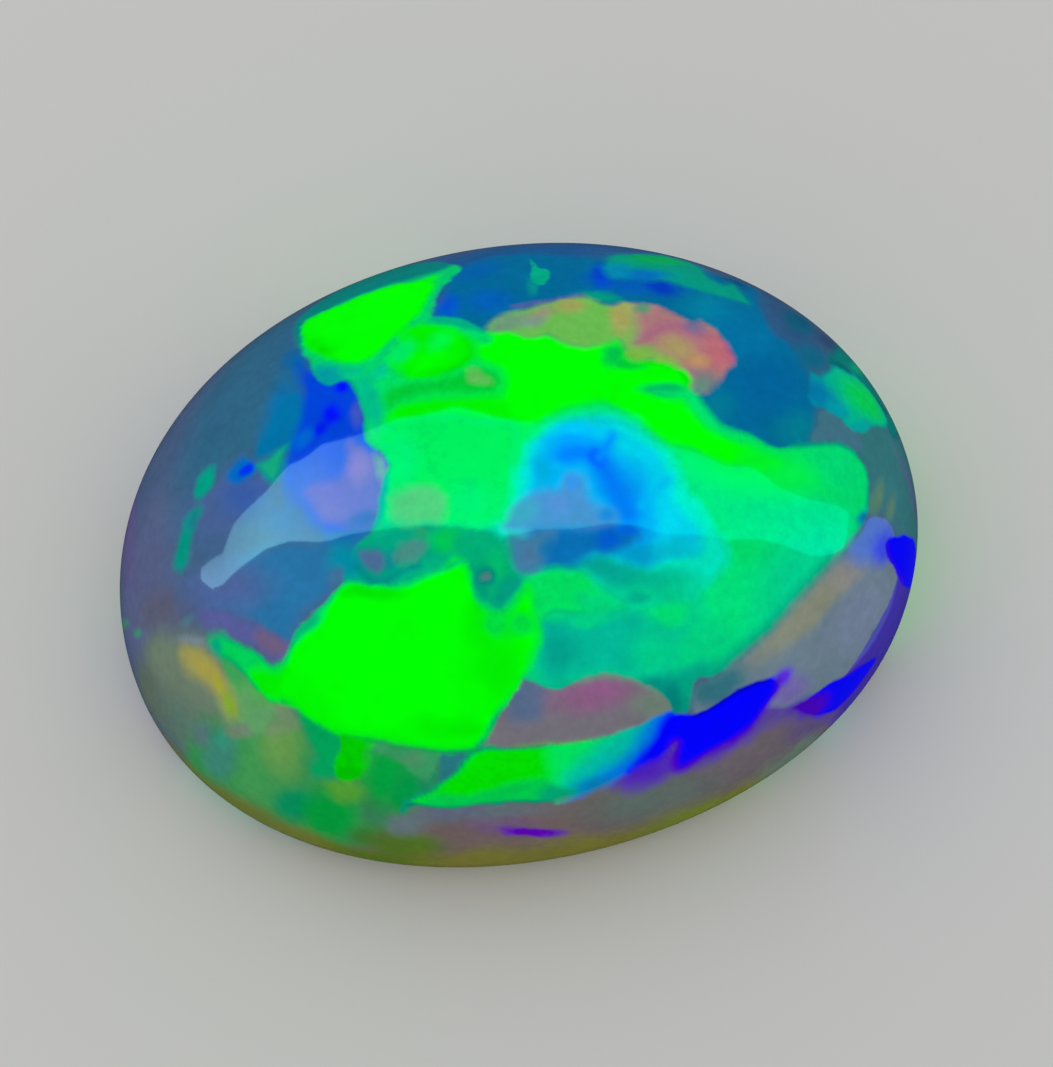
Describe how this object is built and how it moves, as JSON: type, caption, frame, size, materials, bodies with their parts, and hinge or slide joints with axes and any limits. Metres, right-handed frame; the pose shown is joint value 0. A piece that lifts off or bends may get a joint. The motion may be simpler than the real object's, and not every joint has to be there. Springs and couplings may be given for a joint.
{
  "type": "ethiopian opal cabochon",
  "caption": "Loose oval opal cabochon with a high polished dome, a rounded girdle and a flat back, cut to be set in jewellery.",
  "frame": {"origin": "middle of the flat back, on the plane that the stone rests on", "axes": "+X along the oval's length, +Y across it, +Z out of the back through the dome's crown"},
  "size_m": [0.02, 0.0156, 0.0084],
  "materials": {
    "precious_opal": "polished"
  },
  "bodies": {
    "root": {"opal_cabochon": "precious_opal"}
  },
  "joints": []
}
